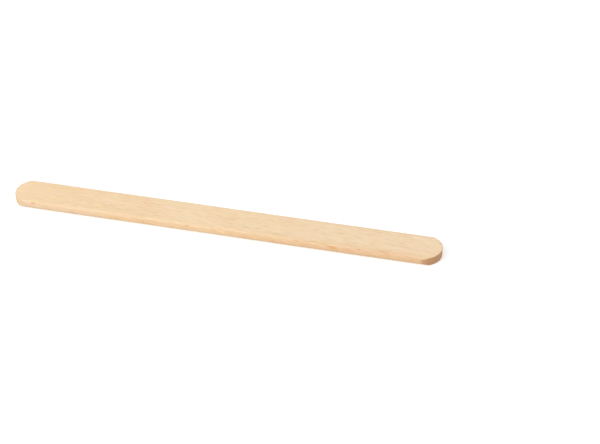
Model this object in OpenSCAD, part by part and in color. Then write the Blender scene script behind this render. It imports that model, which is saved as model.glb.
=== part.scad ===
// A small flat wooden spatula: one straight strip of beech with a round at each end.
// It lies flat. X runs along its length, Y across its width, Z up through its thickness,
// and the origin is the middle of the face that it lies on.

/* [Size] */
// Length over the two rounded ends
spatula_length = 114; // [80:1:200]
// Width between the two long edges
spatula_width = 10; // [6:0.5:20]
// Thickness of the wood
spatula_thickness = 2.3; // [1.2:0.1:3]

/* [Edges] */
// Radius planed along each long edge, above and below
long_edge_radius = 1; // [0.1:0.05:1.4]
// Radius worn on the rims of the rounded ends, above and below
end_rim_radius = 0.15; // [0.05:0.05:0.5]

/* [Hidden] */
$fn = 96;

// A flat strip of this height always stays between the upper and the lower rounding
least_flat = 0.1;
rounding_limit = (spatula_thickness - least_flat) / 2;
long_round = min(long_edge_radius, rounding_limit);
rim_round = min(end_rim_radius, rounding_limit);

// Each end is a full half circle, as wide as the strip
end_radius = spatula_width / 2;
end_centre_x = spatula_length / 2 - end_radius;

// A rectangle of the given size round the origin, with a radius on its four corners
module rounded_rectangle(width, height, radius) {
    square([width - 2 * radius, height], center = true);
    square([width, height - 2 * radius], center = true);
    for (side = [-1, 1], level = [-1, 1])
        translate([side * (width / 2 - radius), level * (height / 2 - radius)])
            circle(r = radius);
}

// The planed strip, still square at its ends, with both long edges rounded
module planed_strip() {
    rotate([90, 0, 90])
        linear_extrude(height = spatula_length, center = true)
            rounded_rectangle(spatula_width, spatula_thickness, long_round);
}

// The disc that one end is cut to, with its upper and lower rim rounded
module end_disc() {
    rotate_extrude()
        intersection() {
            rounded_rectangle(2 * end_radius, spatula_thickness, rim_round);
            translate([0, -spatula_thickness / 2])
                square([end_radius, spatula_thickness]);
        }
}

// The outline that both ends are cut to, as deep as the wood
module end_outline() {
    cube([2 * end_centre_x, spatula_width, spatula_thickness], center = true);
    for (side = [-1, 1])
        translate([side * end_centre_x, 0, 0])
            end_disc();
}

module spatula() {
    color("burlywood")
        translate([0, 0, spatula_thickness / 2])
            intersection() {
                planed_strip();
                end_outline();
            }
}

spatula();
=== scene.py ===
# %% [markdown]
# # A small flat wooden spatula
# The real thing is one strip of pale beech, 114 mm long, 10 mm wide and 2.3 mm thick. It is planed
# smooth, its long edges are rounded, and both of its ends are cut to a half circle.
#
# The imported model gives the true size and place. It is loaded first and stays as it is, and the
# wood that is shown is modelled in the same frame, so nothing has to be fitted afterwards.

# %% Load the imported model
import math

import bpy
from mathutils import Matrix, Vector


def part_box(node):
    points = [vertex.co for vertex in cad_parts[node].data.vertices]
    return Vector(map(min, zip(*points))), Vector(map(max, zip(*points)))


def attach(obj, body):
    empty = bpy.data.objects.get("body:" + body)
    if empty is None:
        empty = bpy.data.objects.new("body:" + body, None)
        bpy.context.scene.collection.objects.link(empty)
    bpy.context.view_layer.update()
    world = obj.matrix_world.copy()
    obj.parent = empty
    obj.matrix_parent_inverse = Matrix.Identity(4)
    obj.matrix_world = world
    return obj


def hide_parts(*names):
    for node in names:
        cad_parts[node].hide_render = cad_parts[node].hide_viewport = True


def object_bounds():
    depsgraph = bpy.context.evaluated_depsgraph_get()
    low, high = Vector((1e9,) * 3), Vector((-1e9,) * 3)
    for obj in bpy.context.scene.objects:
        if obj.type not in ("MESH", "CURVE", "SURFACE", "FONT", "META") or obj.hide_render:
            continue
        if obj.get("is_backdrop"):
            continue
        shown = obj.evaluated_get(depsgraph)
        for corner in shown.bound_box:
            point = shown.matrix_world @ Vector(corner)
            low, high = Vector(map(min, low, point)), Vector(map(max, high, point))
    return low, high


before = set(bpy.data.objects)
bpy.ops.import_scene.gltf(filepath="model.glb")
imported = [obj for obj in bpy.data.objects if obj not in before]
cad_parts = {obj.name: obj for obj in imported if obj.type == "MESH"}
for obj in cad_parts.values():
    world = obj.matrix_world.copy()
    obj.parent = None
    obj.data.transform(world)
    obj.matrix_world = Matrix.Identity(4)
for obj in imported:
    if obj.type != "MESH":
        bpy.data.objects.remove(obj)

MM = 0.001
cad_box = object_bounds()
low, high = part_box("spatula")
LENGTH, WIDTH, THICKNESS = (high - low)
MIDDLE = (low + high) / 2
print("packed model, in mm:", [round(v / MM, 2) for v in (LENGTH, WIDTH, THICKNESS)])

# %% [markdown]
# ## Camera
# The picture was taken from in front, a little to the right and well above, through a long lens
# from a short arm's length away. A long lens keeps the far end of the stick almost as wide as the
# near end, and that is how the lens was told apart from the distance.
#
# A camera in Blender looks along its own -Z, so its turn is built from three directions: to the
# right of the picture, up in the picture, and back from the stick to the camera.

# %% Where the camera stands
IMAGE_WIDTH = 600
IMAGE_HEIGHT = 444
LENS_IN_PIXELS = 1300
AZIMUTH = math.radians(13.2)
ELEVATION = math.radians(37.2)
DISTANCE = 335.8 * MM
# Where the middle of the stick lies in the picture
STICK_X = 223.2
STICK_Y = 221.3

back = Vector((
    math.sin(AZIMUTH) * math.cos(ELEVATION),
    -math.cos(AZIMUTH) * math.cos(ELEVATION),
    math.sin(ELEVATION),
))
right = Vector((math.cos(AZIMUTH), math.sin(AZIMUTH), 0))
up = back.cross(right)
turn = Matrix((right, up, back)).transposed()
aside = (IMAGE_WIDTH / 2 - STICK_X) * DISTANCE / LENS_IN_PIXELS
above = (STICK_Y - IMAGE_HEIGHT / 2) * DISTANCE / LENS_IN_PIXELS
camera_place = MIDDLE + DISTANCE * back + aside * right + above * up
print("camera at, in mm:", [round(v / MM, 1) for v in camera_place])

# %% Camera
SENSOR_WIDTH = 36
NEAREST_SEEN = 10 * MM

bpy.ops.object.camera_add(location=camera_place, rotation=turn.to_euler())
camera = bpy.context.object
camera.name = "camera"
camera.data.sensor_width = SENSOR_WIDTH
camera.data.lens = LENS_IN_PIXELS * SENSOR_WIDTH / IMAGE_WIDTH
camera.data.clip_start = NEAREST_SEEN
bpy.context.scene.camera = camera
bpy.context.scene.view_settings.view_transform = "Standard"
print("lens:", camera.data.lens, "mm")

# %% [markdown]
# ## Nodes, written shortly
# Every material here is a net of nodes. In the shader editor they are dragged in and wired by hand.
# In a script one small function does both: it adds a node, sets its options, fills or links its
# sockets and returns it, so that each line of a material reads like one node.

# %% Helpers that add a node and a material
def add_node(tree, kind, inputs=None, **options):
    node = tree.nodes.new(kind)
    for name, value in options.items():
        setattr(node, name, value)
    for key, value in (inputs or {}).items():
        if isinstance(value, bpy.types.NodeSocket):
            tree.links.new(value, node.inputs[key])
        else:
            node.inputs[key].default_value = value
    return node


def new_material(name):
    material = bpy.data.materials.new(name)
    material.use_nodes = True
    material.node_tree.nodes.clear()
    return material


# %% [markdown]
# ## White surroundings
# The stick lies on a plain pale surface, and the background is white to the edge. More light would
# make the floor white too, but it would bleach the wood. So the floor has a plain matt colour for
# every ray that lights the wood, and only what is seen directly gets a little light of its own on
# top. It comes out white where nothing shades it, and the soft shadow beside the stick is kept.
# Mirror and glass rays see that same white.

# %% A factor that is 1 for the camera, for mirrors and for glass
def seen_directly(tree):
    path = add_node(tree, "ShaderNodeLightPath")
    mirrors = add_node(tree, "ShaderNodeMath", {
        0: path.outputs["Is Camera Ray"],
        1: path.outputs["Is Glossy Ray"],
    }, operation="ADD")
    glass = add_node(tree, "ShaderNodeMath", {
        0: mirrors.outputs[0],
        1: path.outputs["Is Transmission Ray"],
    }, operation="ADD", use_clamp=True)
    return glass.outputs[0]


# %% Floor
FLOOR_WIDTH = 6.0
# The floor lies a hair below the stick, so that their two faces never share one plane
FLOOR_DROP = 0.01 * MM
PAPER = (0.85, 0.85, 0.85, 1)
WHITE = (1, 1, 1, 1)
FLOOR_GLOW = 0.34

bpy.ops.object.select_all(action="DESELECT")
bpy.ops.mesh.primitive_plane_add(size=FLOOR_WIDTH, location=(0, 0, low.z - FLOOR_DROP))
floor = bpy.context.object
floor.name = "floor"

paper = new_material("white_paper")
tree = paper.node_tree
plain = add_node(tree, "ShaderNodeBsdfDiffuse", {"Color": PAPER})
glow_level = add_node(tree, "ShaderNodeMath", {
    0: seen_directly(tree),
    1: FLOOR_GLOW,
}, operation="MULTIPLY")
glow = add_node(tree, "ShaderNodeEmission", {
    "Color": WHITE,
    "Strength": glow_level.outputs[0],
})
both = add_node(tree, "ShaderNodeAddShader", {0: plain.outputs[0], 1: glow.outputs[0]})
add_node(tree, "ShaderNodeOutputMaterial", {"Surface": both.outputs[0]})
floor.data.materials.append(paper)
floor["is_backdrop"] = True
print("floor:", floor.dimensions.x, "m wide")

# %% [markdown]
# ## Soft studio light
# The picture has no hard shadow. A few small lamps would each draw one, so an even white sky does
# most of the work instead. One large soft lamp to the front and left makes the left end a little
# brighter, lights the long edge that faces us, and leaves the right end face in shade. The level is
# set so that the wood comes out in about the colour that is written in its material.

# %% World
SKY_LIGHT = 0.79

world = bpy.data.worlds.new("studio")
world.use_nodes = True
bpy.context.scene.world = world
tree = world.node_tree
tree.nodes.clear()
lighting = add_node(tree, "ShaderNodeBackground", {"Color": WHITE, "Strength": SKY_LIGHT})
backdrop = add_node(tree, "ShaderNodeBackground", {"Color": WHITE, "Strength": 1.0})
chosen = add_node(tree, "ShaderNodeMixShader", {
    0: seen_directly(tree),
    1: lighting.outputs[0],
    2: backdrop.outputs[0],
})
add_node(tree, "ShaderNodeOutputWorld", {"Surface": chosen.outputs[0]})
print("sky light:", SKY_LIGHT)

# %% Lamp
LAMP_FROM = Vector((-0.54, -0.54, 0.57))
LAMP_SIZE = 0.5
LAMP_POWER = 3.8

towards = (MIDDLE - LAMP_FROM).to_track_quat("-Z", "Y").to_euler()
bpy.ops.object.light_add(type="AREA", location=LAMP_FROM, rotation=towards)
lamp = bpy.context.object
lamp.name = "soft_lamp"
lamp.data.shape = "SQUARE"
lamp.data.size = LAMP_SIZE
lamp.data.energy = LAMP_POWER
print("lamp at", [round(v, 2) for v in LAMP_FROM], "m,", LAMP_POWER, "W")

# %% [markdown]
# ## The strip
# A maker starts from a planed strip, and so does this model. Its section could be drawn and
# extruded, but a stretched cube with its four long edges bevelled keeps the radius as one number
# that is easy to change. Bevel with several segments gives the same soft round that the plane or
# the sanding drum leaves. The strip is made a little too long, because its ends are cut off in
# the next steps.

# %% Helpers that select
def pick(mesh_object):
    """Selects this object alone and makes it the active one."""
    bpy.ops.object.select_all(action="DESELECT")
    mesh_object.select_set(True)
    bpy.context.view_layer.objects.active = mesh_object


def select_only(mesh_object, kind, is_wanted):
    """Goes into edit mode with just the wanted edges or faces selected."""
    bpy.ops.object.mode_set(mode="EDIT")
    bpy.ops.mesh.select_mode(type=kind)
    bpy.ops.mesh.select_all(action="DESELECT")
    bpy.ops.object.mode_set(mode="OBJECT")
    parts = mesh_object.data.edges if kind == "EDGE" else mesh_object.data.polygons
    for part in parts:
        part.select = is_wanted(part)
    bpy.ops.object.mode_set(mode="EDIT")


def length_along_x(mesh_object, edge):
    first, second = (mesh_object.data.vertices[i].co for i in edge.vertices)
    return abs(first.x - second.x)


# %% Strip with rounded long edges
LONG_EDGE_RADIUS = 1.0 * MM
LONG_EDGE_STEPS = 9
# The profile of a bevel that is part of a circle
ROUND_PROFILE = 0.5
SPARE = 2 * MM

bpy.ops.object.select_all(action="DESELECT")
bpy.ops.mesh.primitive_cube_add(
    size=1,
    location=MIDDLE,
    scale=(LENGTH + 2 * SPARE, WIDTH, THICKNESS),
)
strip = bpy.context.object
strip.name = "wooden_spatula"
bpy.ops.object.transform_apply(location=True, rotation=True, scale=True)
select_only(strip, "EDGE", lambda edge: length_along_x(strip, edge) > WIDTH)
bpy.ops.mesh.bevel(
    offset=LONG_EDGE_RADIUS,
    segments=LONG_EDGE_STEPS,
    profile=ROUND_PROFILE,
    affect="EDGES",
)
bpy.ops.object.mode_set(mode="OBJECT")
print("strip:", len(strip.data.polygons), "faces")

# %% [markdown]
# ## The cutter
# The ends are stamped out as half circles, and their rims stay crisp: a radius of only 0.15 mm.
# Bevelling the whole outline at once would give the rims and the long edges the same radius, so
# the outline gets a form of its own, to cut with. It starts as a drum as wide as the strip. Its
# two rims are bevelled, bisect takes away its inner half, and a mirror makes the other end, so
# both ends are the same. Bridge then joins the two open halves with straight walls. Extrude could
# draw the walls out too, but it numbers its points differently each time, and Bridge doesn't.

# %% Drum with rounded rims
END_RADIUS = WIDTH / 2
END_MIDDLE = LENGTH / 2 - END_RADIUS
END_POINTS = 128
END_RIM = 0.15 * MM
END_RIM_STEPS = 3
# A face looks along an axis when at least this much of its normal does
STRAIGHT = 0.99

bpy.ops.object.select_all(action="DESELECT")
bpy.ops.mesh.primitive_cylinder_add(
    vertices=END_POINTS,
    radius=END_RADIUS,
    depth=THICKNESS,
    location=(END_MIDDLE, 0, MIDDLE.z),
)
cutter = bpy.context.object
cutter.name = "cutter"
bpy.ops.object.transform_apply(location=True, rotation=True, scale=True)
select_only(cutter, "FACE", lambda face: abs(face.normal.z) > STRAIGHT)
bpy.ops.mesh.region_to_loop()
bpy.ops.mesh.bevel(
    offset=END_RIM,
    segments=END_RIM_STEPS,
    profile=ROUND_PROFILE,
    affect="EDGES",
)
bpy.ops.object.mode_set(mode="OBJECT")
print("drum:", len(cutter.data.polygons), "faces")

# %% Its outer half
# Points this close to a cut count as on it. The usual value is for models a thousand times larger
ON_THE_CUT = 0.0005 * MM

bpy.ops.object.mode_set(mode="EDIT")
bpy.ops.mesh.select_all(action="SELECT")
bpy.ops.mesh.bisect(
    plane_co=(END_MIDDLE, 0, 0),
    plane_no=(1, 0, 0),
    clear_inner=True,
    threshold=ON_THE_CUT,
)
bpy.ops.object.mode_set(mode="OBJECT")
print("half of the drum:", len(cutter.data.polygons), "faces")

# %% The other end, and the straight walls between the two
mirror = cutter.modifiers.new("other_end", "MIRROR")
mirror.use_axis = (True, False, False)
pick(cutter)
bpy.ops.object.modifier_apply(modifier=mirror.name)
bpy.ops.object.mode_set(mode="EDIT")
bpy.ops.mesh.select_mode(type="EDGE")
bpy.ops.mesh.select_all(action="SELECT")
bpy.ops.mesh.region_to_loop()
bpy.ops.mesh.bridge_edge_loops()
bpy.ops.object.mode_set(mode="OBJECT")
print("cutter:", len(cutter.data.polygons), "faces")

# %% [markdown]
# ## Stamping out the ends
# The strip and the cutter share one space, and the stick is what lies in both. A Boolean set to
# Intersect keeps just that. Moving points by hand could round the ends too, but where the soft long
# edge runs out into the half circle the two forms meet in a short curved line, and the Boolean
# finds that line by itself. What it leaves is then cleaned: points that lie on each other are
# merged, and faces that lie in one plane become one.

# %% Strip cut to its outline
# Faces that turn by less than this lie in one plane
ONE_PLANE = math.radians(0.2)

pick(strip)
stamp = strip.modifiers.new("stamp", "BOOLEAN")
stamp.operation = "INTERSECT"
stamp.solver = "EXACT"
stamp.object = cutter
bpy.ops.object.modifier_apply(modifier=stamp.name)
bpy.data.objects.remove(cutter)
bpy.ops.object.mode_set(mode="EDIT")
bpy.ops.mesh.select_all(action="SELECT")
bpy.ops.mesh.remove_doubles(threshold=ON_THE_CUT)
bpy.ops.mesh.dissolve_limited(angle_limit=ONE_PLANE)
bpy.ops.object.mode_set(mode="OBJECT")
print("stamped stick:", len(strip.data.polygons), "faces")

# %% [markdown]
# ## A grid fine enough for the grain
# So far the flat sides are single big faces, and no relief could be pressed into them. A Remesh
# would make a grid at once, but it would blur the crisp rims. Bisect keeps them: it lays straight
# cuts through the whole stick, many close together across the width, because the grain is
# narrow, and fewer along the length, because it is long. The straight middle part is then made
# of plain four-sided faces, and one Subdivide cuts all of those at once.

# %% Cuts across the width and near the ends
ROW_STEP = 0.1 * MM
END_STEP = 0.3 * MM
MIDDLE_PARTS = 3


def cut_at_x(x):
    bpy.ops.mesh.select_all(action="SELECT")
    bpy.ops.mesh.bisect(plane_co=(x, 0, 0), plane_no=(1, 0, 0), threshold=ON_THE_CUT)


def cut_at_y(y):
    bpy.ops.mesh.select_all(action="SELECT")
    bpy.ops.mesh.bisect(plane_co=(0, y, 0), plane_no=(0, 1, 0), threshold=ON_THE_CUT)


bpy.ops.object.mode_set(mode="EDIT")
bpy.ops.mesh.select_mode(type="VERT")
for i in range(MIDDLE_PARTS + 1):
    cut_at_x(END_MIDDLE * (2 * i / MIDDLE_PARTS - 1))
flat_half = WIDTH / 2 - LONG_EDGE_RADIUS
rows = round(2 * flat_half / ROW_STEP)
for i in range(1, rows):
    cut_at_y(-flat_half + 2 * flat_half * i / rows)
for side in (-1, 1):
    for i in range(1, int(END_RADIUS / END_STEP) + 1):
        cut_at_x(side * (END_MIDDLE + i * END_STEP))
bpy.ops.object.mode_set(mode="OBJECT")
print("after the cuts:", len(strip.data.polygons), "faces")

# %% Cuts along the straight middle part
LONG_STEP = 0.4 * MM
LONG_CUTS = round(2 * END_MIDDLE / MIDDLE_PARTS / LONG_STEP) - 1

select_only(strip, "EDGE", lambda edge: length_along_x(strip, edge) > END_RADIUS)
bpy.ops.mesh.subdivide(number_cuts=LONG_CUTS)
bpy.ops.mesh.select_all(action="SELECT")
bpy.ops.mesh.remove_doubles(threshold=ON_THE_CUT)
bpy.ops.mesh.normals_make_consistent(inside=False)
bpy.ops.object.mode_set(mode="OBJECT")
strip.data.calc_loop_triangles()
print("grid:", len(strip.data.polygons), "faces,", len(strip.data.loop_triangles), "triangles")

# %% [markdown]
# ## The pattern of beech
# Beech is told by its rays: thin sheets of cells that stand on edge in the wood. On the flat side
# they show as short brown spindles that lie along the grain, up to 3 mm long and a fifth of a
# millimetre wide. On the rounded end the same sheets are cut across and show as fine upright
# lines. Between them run long faint streaks, and wide soft patches of warmer and paler wood.
#
# A picture of wood could be wrapped round the stick, but it would show a seam at every edge. Here
# all of it is one solid pattern in millimetres, so a ray that is seen on top goes on down the
# edge. The spindles come from a Voronoi texture. It gives the nearest of many scattered points,
# and the way to that point, squeezed to the size of a spindle, gives its shape. The same
# functions are used twice: once to press the spindles into the surface, and once to colour them,
# so each dip and each brown mark are at the same place.

# %% Helpers for patterns
def vector_math(tree, operation, first, second):
    node = add_node(tree, "ShaderNodeVectorMath", {0: first, 1: second}, operation=operation)
    return node.outputs["Vector"]


def vector_length(tree, vector):
    node = add_node(tree, "ShaderNodeVectorMath", {0: vector}, operation="LENGTH")
    return node.outputs["Value"]


def number_math(tree, operation, first, second=0.0):
    node = add_node(tree, "ShaderNodeMath", {0: first, 1: second}, operation=operation)
    return node.outputs[0]


def in_millimetres(tree, place):
    return vector_math(tree, "MULTIPLY", place, (1 / MM, 1 / MM, 1 / MM))


def ramp(tree, value, start, end, low_value=0.0, high_value=1.0):
    """Goes smoothly from low_value at start to high_value at end."""
    node = add_node(tree, "ShaderNodeMapRange", {
        "Value": value,
        1: start,
        2: end,
        3: low_value,
        4: high_value,
    }, interpolation_type="SMOOTHSTEP")
    return node.outputs[0]


# %% Noise that is stretched along the grain
NOISE_ROUGHNESS = 0.55


def noise(tree, point, size, detail, shift):
    """Noise whose lumps have the given size along X, Y and Z; the shift makes it another one."""
    stretched = vector_math(tree, "DIVIDE", point, size)
    moved = vector_math(tree, "ADD", stretched, (shift, 0.37 * shift, 0.71 * shift))
    node = add_node(tree, "ShaderNodeTexNoise", {
        "Vector": moved,
        "Scale": 1.0,
        "Detail": detail,
        "Roughness": NOISE_ROUGHNESS,
    })
    return node.outputs[0]


# %% The grain, in millimetres
GRAIN_LEAN = math.radians(5)
GRAIN_WANDER = 0.6
WANDER_NOISE = ((38.0, 9.0, 9.0), 1.0, 3.0)


def grain_point(tree, place):
    """The place in millimetres, turned so that X runs along the grain, which wanders a little."""
    turned = add_node(tree, "ShaderNodeVectorRotate", {
        "Vector": in_millimetres(tree, place),
        "Angle": GRAIN_LEAN,
    }, rotation_type="Z_AXIS")
    wander = noise(tree, turned.outputs[0], *WANDER_NOISE)
    sideways = ramp(tree, wander, 0.2, 0.8, -GRAIN_WANDER, GRAIN_WANDER)
    leaning = add_node(tree, "ShaderNodeCombineXYZ", {"Y": sideways})
    return vector_math(tree, "ADD", turned.outputs[0], leaning.outputs[0])


# %% One kind of ray
def spindles(tree, point, spacing, half_length, half_width, share, shift):
    """Short marks along the grain: up to 1 in the middle of a mark, and 0 between the marks.

    The spacing, the half length and the half width are in millimetres. The share is the part of
    the scattered points that carry a mark.
    """
    pace = (spacing[0], spacing[1], 1.0)
    cells = vector_math(tree, "DIVIDE", point, pace)
    moved = vector_math(tree, "ADD", cells, (shift, 1.7 * shift, 0.0))
    nearest = add_node(tree, "ShaderNodeTexVoronoi", {
        "Vector": moved,
        "Scale": 1.0,
        "Randomness": 1.0,
    }, voronoi_dimensions="2D")
    away = vector_math(tree, "SUBTRACT", moved, nearest.outputs["Position"])
    shape = (spacing[0] / half_length, spacing[1] / half_width, 0.0)
    distance = vector_length(tree, vector_math(tree, "MULTIPLY", away, shape))
    chance = add_node(tree, "ShaderNodeSeparateXYZ", {0: nearest.outputs["Color"]})
    size = ramp(tree, chance.outputs["Z"], 0.0, 1.0, 0.7, 1.3)
    body = ramp(tree, number_math(tree, "DIVIDE", distance, size), 1.1, 0.2)
    there = number_math(tree, "LESS_THAN", chance.outputs["X"], share)
    depth = ramp(tree, chance.outputs["Y"], 0.0, 1.0, 0.3, 1.0)
    strength = number_math(tree, "MULTIPLY", there, depth)
    return number_math(tree, "MULTIPLY", body, strength)


# %% The rays of the beech
# Spacing, half length, half width, share and shift
LARGE_RAYS = ((4.6, 1.2), 1.5, 0.10, 0.75, 5.0)
SMALL_RAYS = ((2.3, 0.7), 0.75, 0.065, 0.8, 11.0)
SMALL_RAY_STRENGTH = 0.55


def rays(tree, point):
    """Large rays with wide gaps, and many small ones between them."""
    large = spindles(tree, point, *LARGE_RAYS)
    small = spindles(tree, point, *SMALL_RAYS)
    fainter = number_math(tree, "MULTIPLY", small, SMALL_RAY_STRENGTH)
    return number_math(tree, "MAXIMUM", large, fainter)


print("large rays:", 2 * LARGE_RAYS[1], "mm long; small rays:", 2 * SMALL_RAYS[1], "mm long")

# %% [markdown]
# ## Relief
# Planed wood isn't a sheet of plastic. The plane leaves long shallow waves, the fibres
# stand up a hundredth of a millimetre, and the rays lie a little deeper. Bump alone could fake
# this, but only in the shading. Here a Geometry Nodes modifier moves every point of the grid
# inwards by that much and is then applied, so the relief is real and shows in the outline too.
# It only takes wood away, and the stick stays within its size.

# %% How deep the surface lies at each point
RAY_DEPTH = 0.022 * MM
FIBRE_DEPTH = 0.012 * MM
WAVE_DEPTH = 0.05 * MM
FIBRE_RELIEF = ((5.0, 0.28, 0.28), 2.0, 21.0)
WAVE_RELIEF = ((45.0, 3.5, 6.0), 1.0, 33.0)


def relief_depth(tree, point):
    ray_part = number_math(tree, "MULTIPLY", rays(tree, point), RAY_DEPTH)
    fibre = ramp(tree, noise(tree, point, *FIBRE_RELIEF), 0.65, 0.3)
    fibre_part = number_math(tree, "MULTIPLY", fibre, FIBRE_DEPTH)
    wave = ramp(tree, noise(tree, point, *WAVE_RELIEF), 0.7, 0.3)
    wave_part = number_math(tree, "MULTIPLY", wave, WAVE_DEPTH)
    fine_part = number_math(tree, "ADD", ray_part, fibre_part)
    return number_math(tree, "ADD", fine_part, wave_part)


deepest = RAY_DEPTH + FIBRE_DEPTH + WAVE_DEPTH
print("deepest relief:", round(deepest / MM, 3), "mm")

# %% Relief pressed into the surface
CREASE_ANGLE = math.radians(35)

tree = bpy.data.node_groups.new("grain_relief", "GeometryNodeTree")
tree.interface.new_socket("Geometry", in_out="INPUT", socket_type="NodeSocketGeometry")
tree.interface.new_socket("Geometry", in_out="OUTPUT", socket_type="NodeSocketGeometry")
entry = add_node(tree, "NodeGroupInput")
place = add_node(tree, "GeometryNodeInputPosition")
outward = add_node(tree, "GeometryNodeInputNormal")
depth = relief_depth(tree, grain_point(tree, place.outputs[0]))
inward = number_math(tree, "MULTIPLY", depth, -1.0)
offset = add_node(tree, "ShaderNodeVectorMath", {
    0: outward.outputs[0],
    "Scale": inward,
}, operation="SCALE")
pressed = add_node(tree, "GeometryNodeSetPosition", {
    "Geometry": entry.outputs[0],
    "Offset": offset.outputs["Vector"],
})
add_node(tree, "NodeGroupOutput", {0: pressed.outputs[0]})

pick(strip)
relief = strip.modifiers.new("relief", "NODES")
relief.node_group = tree
bpy.ops.object.modifier_apply(modifier=relief.name)
bpy.ops.object.shade_smooth_by_angle(angle=CREASE_ANGLE)
strip.data.calc_loop_triangles()
print("finished stick:", len(strip.data.loop_triangles), "triangles")

# %% [markdown]
# ## Finish
# The wood is bare: no oil and no lacquer, only sanded. One flat brown would look like plastic, so
# its colour is built in layers, from the widest to the finest: warm and pale patches, long streaks,
# the rays, and a few marks that this one stick happened to grow. Painted shade is laid in too, on
# the long edges, on the right end and in one warm patch. Each layer is laid over the one before by
# a Mix node, so each can be made weaker or stronger on its own. The flat side comes first. It is a
# little paler and yellower at the left end than at the right end.

# %% Colours, and a helper that lays one over another
# Plain colours, which cover what lies under them
LEFT_WOOD = (0.893, 0.679, 0.430, 1)
RIGHT_WOOD = (0.876, 0.676, 0.446, 1)
PALE_STREAK = (0.950, 0.770, 0.540, 1)
DARK_STREAK = (0.780, 0.540, 0.330, 1)
RAY_BROWN = (0.560, 0.330, 0.170, 1)
MARK_BROWN = (0.420, 0.220, 0.100, 1)
MARK_ORANGE = (0.740, 0.400, 0.165, 1)
# Tints, which multiply what lies under them
WARM_PATCH = (0.975, 0.940, 0.900, 1)
PINK_PATCH = (1.005, 0.970, 0.990, 1)
GOLD_PATCH = (0.990, 1.000, 0.960, 1)
# Tints of the long edges: part the cut grain, part painted shade and warm bounce light
LEFT_EDGE_GRAIN_AND_SHADE = (0.905, 0.862, 0.885, 1)
RIGHT_EDGE_GRAIN_AND_SHADE = (0.937, 0.868, 0.792, 1)
# Painted shade on the edge that faces the camera, along its right half
PAINTED_EDGE_SHADE = (0.965, 0.910, 0.870, 1)
# End walls: the right one is end grain with painted shade, the lit left one stays almost pale
LEFT_END = (0.960, 0.970, 0.970, 1)
RIGHT_END_GRAIN_AND_SHADE = (0.750, 0.628, 0.552, 1)
# Painted shadow towards the tip of the right end
TIP_SHADE = (0.900, 0.840, 0.790, 1)


def lay_over(tree, colour, other, amount, how="MIX"):
    node = add_node(tree, "ShaderNodeMix", {
        0: amount,
        6: colour,
        7: other,
    }, data_type="RGBA", blend_type=how)
    return node.outputs[2]


# %% Wood of the flat side
# Each noise: the size of its lumps in mm, how many finer layers it has, and its shift
PATCHES = ((16.0, 5.0, 5.0), 2.0, 41.0)
BLUSH = ((4.5, 1.8, 1.8), 2.0, 47.0)
TIP_X = 57.0

beech = new_material("bare_beech")
tree = beech.node_tree
coordinates = add_node(tree, "ShaderNodeTexCoord")
place = coordinates.outputs["Object"]
point = grain_point(tree, place)
straight = in_millimetres(tree, place)
sides = add_node(tree, "ShaderNodeSeparateXYZ", {0: straight})
along = sides.outputs["X"]
across = sides.outputs["Y"]

colour = lay_over(tree, LEFT_WOOD, RIGHT_WOOD, ramp(tree, along, -TIP_X, TIP_X))
patches = noise(tree, point, *PATCHES)
colour = lay_over(tree, colour, WARM_PATCH, ramp(tree, patches, 0.32, 0.68), "MULTIPLY")
blush = noise(tree, point, *BLUSH)
colour = lay_over(tree, colour, PINK_PATCH, ramp(tree, blush, 0.5, 0.66), "MULTIPLY")
colour = lay_over(tree, colour, GOLD_PATCH, ramp(tree, blush, 0.5, 0.34), "MULTIPLY")
print("flat side:", len(tree.nodes), "nodes")

# %% [markdown]
# Streaks are bundles of fibres that took up more or less colour as the tree grew. Lines drawn one by
# one would look ruled. Noise with lumps many times longer than wide gives streaks that fade in and
# out, and one noise gives both the dark and the pale ones, from its high and its low values. The
# rays are the spindles from before. Towards the left end the grain of this stick is fainter.

# %% Streaks and fibres
LONG_STREAKS = ((22.0, 0.5, 0.9), 3.0, 51.0)
STREAKS = ((3.2, 0.30, 0.6), 2.0, 57.0)
FIBRES = ((2.6, 0.15, 0.3), 2.0, 61.0)
LONG_STREAK_MOST = 0.32
DARK_MOST = 0.42
PALE_MOST = 0.8
FIBRE_MOST = 0.35

long_streaks = noise(tree, point, *LONG_STREAKS)
long_amount = ramp(tree, long_streaks, 0.48, 0.85, 0.0, LONG_STREAK_MOST)
colour = lay_over(tree, colour, DARK_STREAK, long_amount)
grain_strength = ramp(tree, along, -50.0, -25.0, 0.6, 1.0)
streaks = noise(tree, point, *STREAKS)
dark_streaks = ramp(tree, streaks, 0.5, 0.75, 0.0, DARK_MOST)
pale_streaks = ramp(tree, streaks, 0.5, 0.25, 0.0, PALE_MOST)
dark_amount = number_math(tree, "MULTIPLY", dark_streaks, grain_strength)
pale_amount = number_math(tree, "MULTIPLY", pale_streaks, grain_strength)
colour = lay_over(tree, colour, DARK_STREAK, dark_amount)
colour = lay_over(tree, colour, PALE_STREAK, pale_amount)
fibres = noise(tree, point, *FIBRES)
colour = lay_over(tree, colour, DARK_STREAK, ramp(tree, fibres, 0.5, 0.8, 0.0, FIBRE_MOST))
print("with streaks:", len(tree.nodes), "nodes")

# %% Rays
RAY_MOST = 0.6

ray_strength = number_math(tree, "MULTIPLY", grain_strength, RAY_MOST)
ray_amount = number_math(tree, "MULTIPLY", rays(tree, point), ray_strength)
colour = lay_over(tree, colour, RAY_BROWN, ray_amount)
print("with rays:", len(tree.nodes), "nodes")

# %% [markdown]
# The long edges cut the grain at a slant and look darker than the flat side: pinkish at the left
# end, and more orange from there on. Part of that is the cut grain, and part is painted shade and
# warm painted bounce light on the round. Painting them by hand would need an unwrapped mesh. The
# upright part of the normal tells them from the flat side just as well, and fades round the radius
# as the real edge does. Along the right half of the edge that faces the camera, a band of painted
# shade darkens and warms the round and reaches further onto the flat side.

# %% Long edges
FLAT_NORMAL = 0.97
EDGE_NORMAL = 0.5

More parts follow.
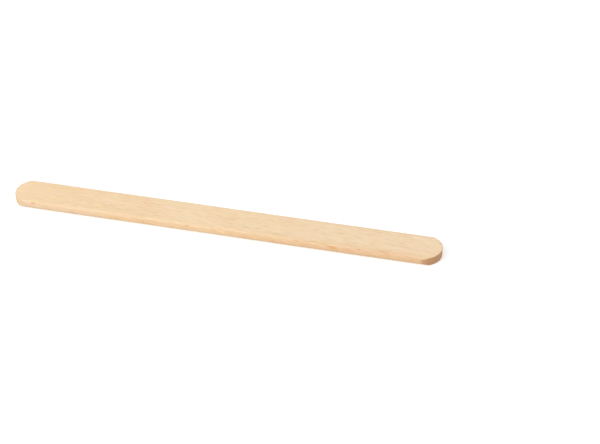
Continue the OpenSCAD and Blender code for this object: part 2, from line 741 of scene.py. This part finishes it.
facing = add_node(tree, "ShaderNodeSeparateXYZ", {0: coordinates.outputs["Normal"]})
upright = number_math(tree, "ABSOLUTE", facing.outputs["Z"])
# Cut grain and painted shade on the rounded long edges
edge_grain_and_shade_amount = ramp(tree, upright, FLAT_NORMAL, EDGE_NORMAL)
edge_grain_and_shade = lay_over(tree, LEFT_EDGE_GRAIN_AND_SHADE, RIGHT_EDGE_GRAIN_AND_SHADE, ramp(tree, along, -45.0, -20.0))
colour = lay_over(tree, colour, edge_grain_and_shade, edge_grain_and_shade_amount, "MULTIPLY")
# A band of painted shade along the right half of the edge that faces the camera
near_edge = ramp(tree, across, -2.7, -4.4)
right_half = ramp(tree, along, -5.0, 25.0)
painted_shade_band_amount = number_math(tree, "MULTIPLY", near_edge, right_half)
colour = lay_over(tree, colour, PAINTED_EDGE_SHADE, painted_shade_band_amount, "MULTIPLY")
print("with long edges:", len(tree.nodes), "nodes")

# %% [markdown]
# On the wall of a round end the fibres are cut across, and their open ends swallow a little light.
# The wall of the right end is made much darker and browner than that, with painted shade and warm
# painted bounce light on top of the end grain, and a painted shadow makes it darkest at its tip.
# The left end, which faces the lamp, gets almost none of this and stays almost as pale as the flat
# side. A second material on the wall would end in a hard line, so the wall is found by its place
# instead: past the middle of the half circle, and as far from that middle as the wall is. Fine
# upright lines on it are the rays, seen from their ends.

# %% Where the walls of the ends are
END_WALL = END_RADIUS / MM
# How far in from the outline the end grain starts, and is full
WALL_START = 0.22
WALL_FULL = 0.1
# How far past the middle of the half circle the end grain and its painted shade fade in
SQUARE_CUT = 1.2

past_middle = number_math(tree, "SUBTRACT", number_math(tree, "ABSOLUTE", along), END_MIDDLE / MM)
on_the_end = number_math(tree, "MAXIMUM", past_middle, 0.0)
from_middle = add_node(tree, "ShaderNodeCombineXYZ", {"X": on_the_end, "Y": across})
reach = vector_length(tree, from_middle.outputs[0])
wall = ramp(tree, reach, END_WALL - WALL_START, END_WALL - WALL_FULL)
end_amount = number_math(tree, "MULTIPLY", wall, ramp(tree, on_the_end, 0.0, SQUARE_CUT))

# %% End grain and painted shade
END_LINES = ((0.80, 0.42, 5.0), 1.0, 71.0)
LINE_MOST = 0.5
TIP_SHADE_START = 53.5

# End grain and painted shade on the right end; the lit left end stays almost pale
end_grain_and_shade = lay_over(tree, LEFT_END, RIGHT_END_GRAIN_AND_SHADE, ramp(tree, along, -1.0, 1.0))
colour = lay_over(tree, colour, end_grain_and_shade, end_amount, "MULTIPLY")
# Painted shadow, darker towards the tip of the right end
tip_amount = number_math(tree, "MULTIPLY", wall, ramp(tree, along, TIP_SHADE_START, TIP_X))
colour = lay_over(tree, colour, TIP_SHADE, tip_amount, "MULTIPLY")
end_lines = ramp(tree, noise(tree, straight, *END_LINES), 0.44, 0.6, 0.0, LINE_MOST)
line_amount = number_math(tree, "MULTIPLY", end_amount, end_lines)
colour = lay_over(tree, colour, RAY_BROWN, line_amount)
print("with end grain and painted shade:", len(tree.nodes), "nodes")

# %% [markdown]
# A few small marks grew in this stick: a thin broken line that leans towards the near edge and runs
# off it, an orange fleck where it ends, and some short brown dashes. No noise would put them there,
# so each has a place of its own. A wide warm patch near the right end is painted shade, which widens
# the painted band on the edge that faces the camera. Each mark is a soft solid lens round that
# place, so one that lies at the edge shows on top and on the side.

# %% Natural marks, and a patch of painted shade
# Place and half size in mm, colour, strength
MARKS = [
    # The thin broken line
    ((2.7, -1.80, 2.30), (0.9, 0.13, 0.5), MARK_BROWN, 0.36),
    ((6.9, -2.35, 2.30), (1.0, 0.14, 0.5), MARK_BROWN, 0.42),
    ((9.9, -2.20, 2.30), (0.8, 0.12, 0.5), MARK_BROWN, 0.36),
    ((12.7, -2.75, 2.30), (1.0, 0.12, 0.5), MARK_BROWN, 0.38),
    ((15.4, -3.25, 2.30), (1.2, 0.12, 0.5), MARK_BROWN, 0.38),
    ((17.6, -3.55, 2.25), (1.1, 0.12, 0.5), MARK_BROWN, 0.38),
    # Its end, which runs over the edge into an orange fleck
    ((25.2, -4.28, 2.26), (1.2, 0.11, 0.4), MARK_BROWN, 0.42),
    ((27.3, -4.60, 2.10), (1.6, 0.11, 0.5), MARK_BROWN, 0.45),
    ((29.4, -4.83, 1.85), (1.3, 0.12, 0.25), MARK_BROWN, 0.55),
    ((30.3, -4.92, 1.62), (1.4, 0.60, 0.55), MARK_ORANGE, 0.85),
    # Dashes further to the right, and behind them a wide warm patch of painted shade on the near
    # edge
    ((36.6, -4.68, 2.03), (0.9, 0.13, 0.3), MARK_BROWN, 0.50),
    ((42.5, -4.41, 2.21), (1.4, 0.12, 0.3), MARK_BROWN, 0.55),
    ((45.6, -4.45, 2.19), (0.8, 0.11, 0.3), MARK_BROWN, 0.42),
    # The wide warm patch is painted shade, which widens the painted band on the near edge
    ((44.5, -4.25, 2.25), (7.0, 1.05, 0.6), MARK_ORANGE, 0.18),
    # Faint dashes, and a fleck near the left end
    ((20.5, -4.63, 2.08), (1.0, 0.12, 0.3), MARK_BROWN, 0.30),
    ((-8.2, -4.78, 1.90), (0.8, 0.30, 0.25), MARK_BROWN, 0.28),
    ((-50.2, -4.80, 1.85), (1.1, 0.35, 0.40), MARK_ORANGE, 0.42),
    ((-50.4, -4.70, 1.95), (0.6, 0.20, 0.25), MARK_BROWN, 0.35),
]

# A mark fades from full to nothing between these parts of its half size
MARK_CORE = 0.2
MARK_RIM = 1.2

for middle, half_size, mark_colour, strength in MARKS:
    away = vector_math(tree, "SUBTRACT", straight, middle)
    distance = vector_length(tree, vector_math(tree, "DIVIDE", away, half_size))
    amount = ramp(tree, distance, MARK_RIM, MARK_CORE, 0.0, strength)
    colour = lay_over(tree, colour, mark_colour, amount)
print("marks:", len(MARKS))

# %% [markdown]
# Sanded wood is matt with a very soft shine. A single roughness would shine like paint, so it
# follows the fibres. They are finer than the grid of the mesh, and a Bump node lets them catch the
# light without any more faces. Each ray lies a little deeper there too.

# %% Surface
SHINE = 0.35
SMOOTHEST = 0.56
ROUGHEST = 0.68
BUMP_STRENGTH = 0.35
BUMP_HEIGHT = 0.05 * MM

grain_height = number_math(tree, "SUBTRACT", fibres, ray_amount)
bump = add_node(tree, "ShaderNodeBump", {
    "Strength": BUMP_STRENGTH,
    "Distance": BUMP_HEIGHT,
    "Height": grain_height,
})
surface = add_node(tree, "ShaderNodeBsdfPrincipled", {
    "Base Color": colour,
    "Roughness": ramp(tree, fibres, 0.3, 0.7, SMOOTHEST, ROUGHEST),
    "Specular IOR Level": SHINE,
    "Normal": bump.outputs[0],
})
add_node(tree, "ShaderNodeOutputMaterial", {"Surface": surface.outputs[0]})
strip.data.materials.clear()
strip.data.materials.append(beech)
print("bare_beech:", len(tree.nodes), "nodes")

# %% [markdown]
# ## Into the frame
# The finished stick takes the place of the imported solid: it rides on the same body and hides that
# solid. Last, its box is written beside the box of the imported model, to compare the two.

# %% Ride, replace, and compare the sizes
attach(strip, "root")
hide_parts("spatula")

shown_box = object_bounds()
sizes = {
    "cad_box": [list(corner) for corner in cad_box],
    "visual_box": [list(corner) for corner in shown_box],
}
for name, corners in sizes.items():
    print(name, "in mm:", [[round(v / MM, 3) for v in corner] for corner in corners])
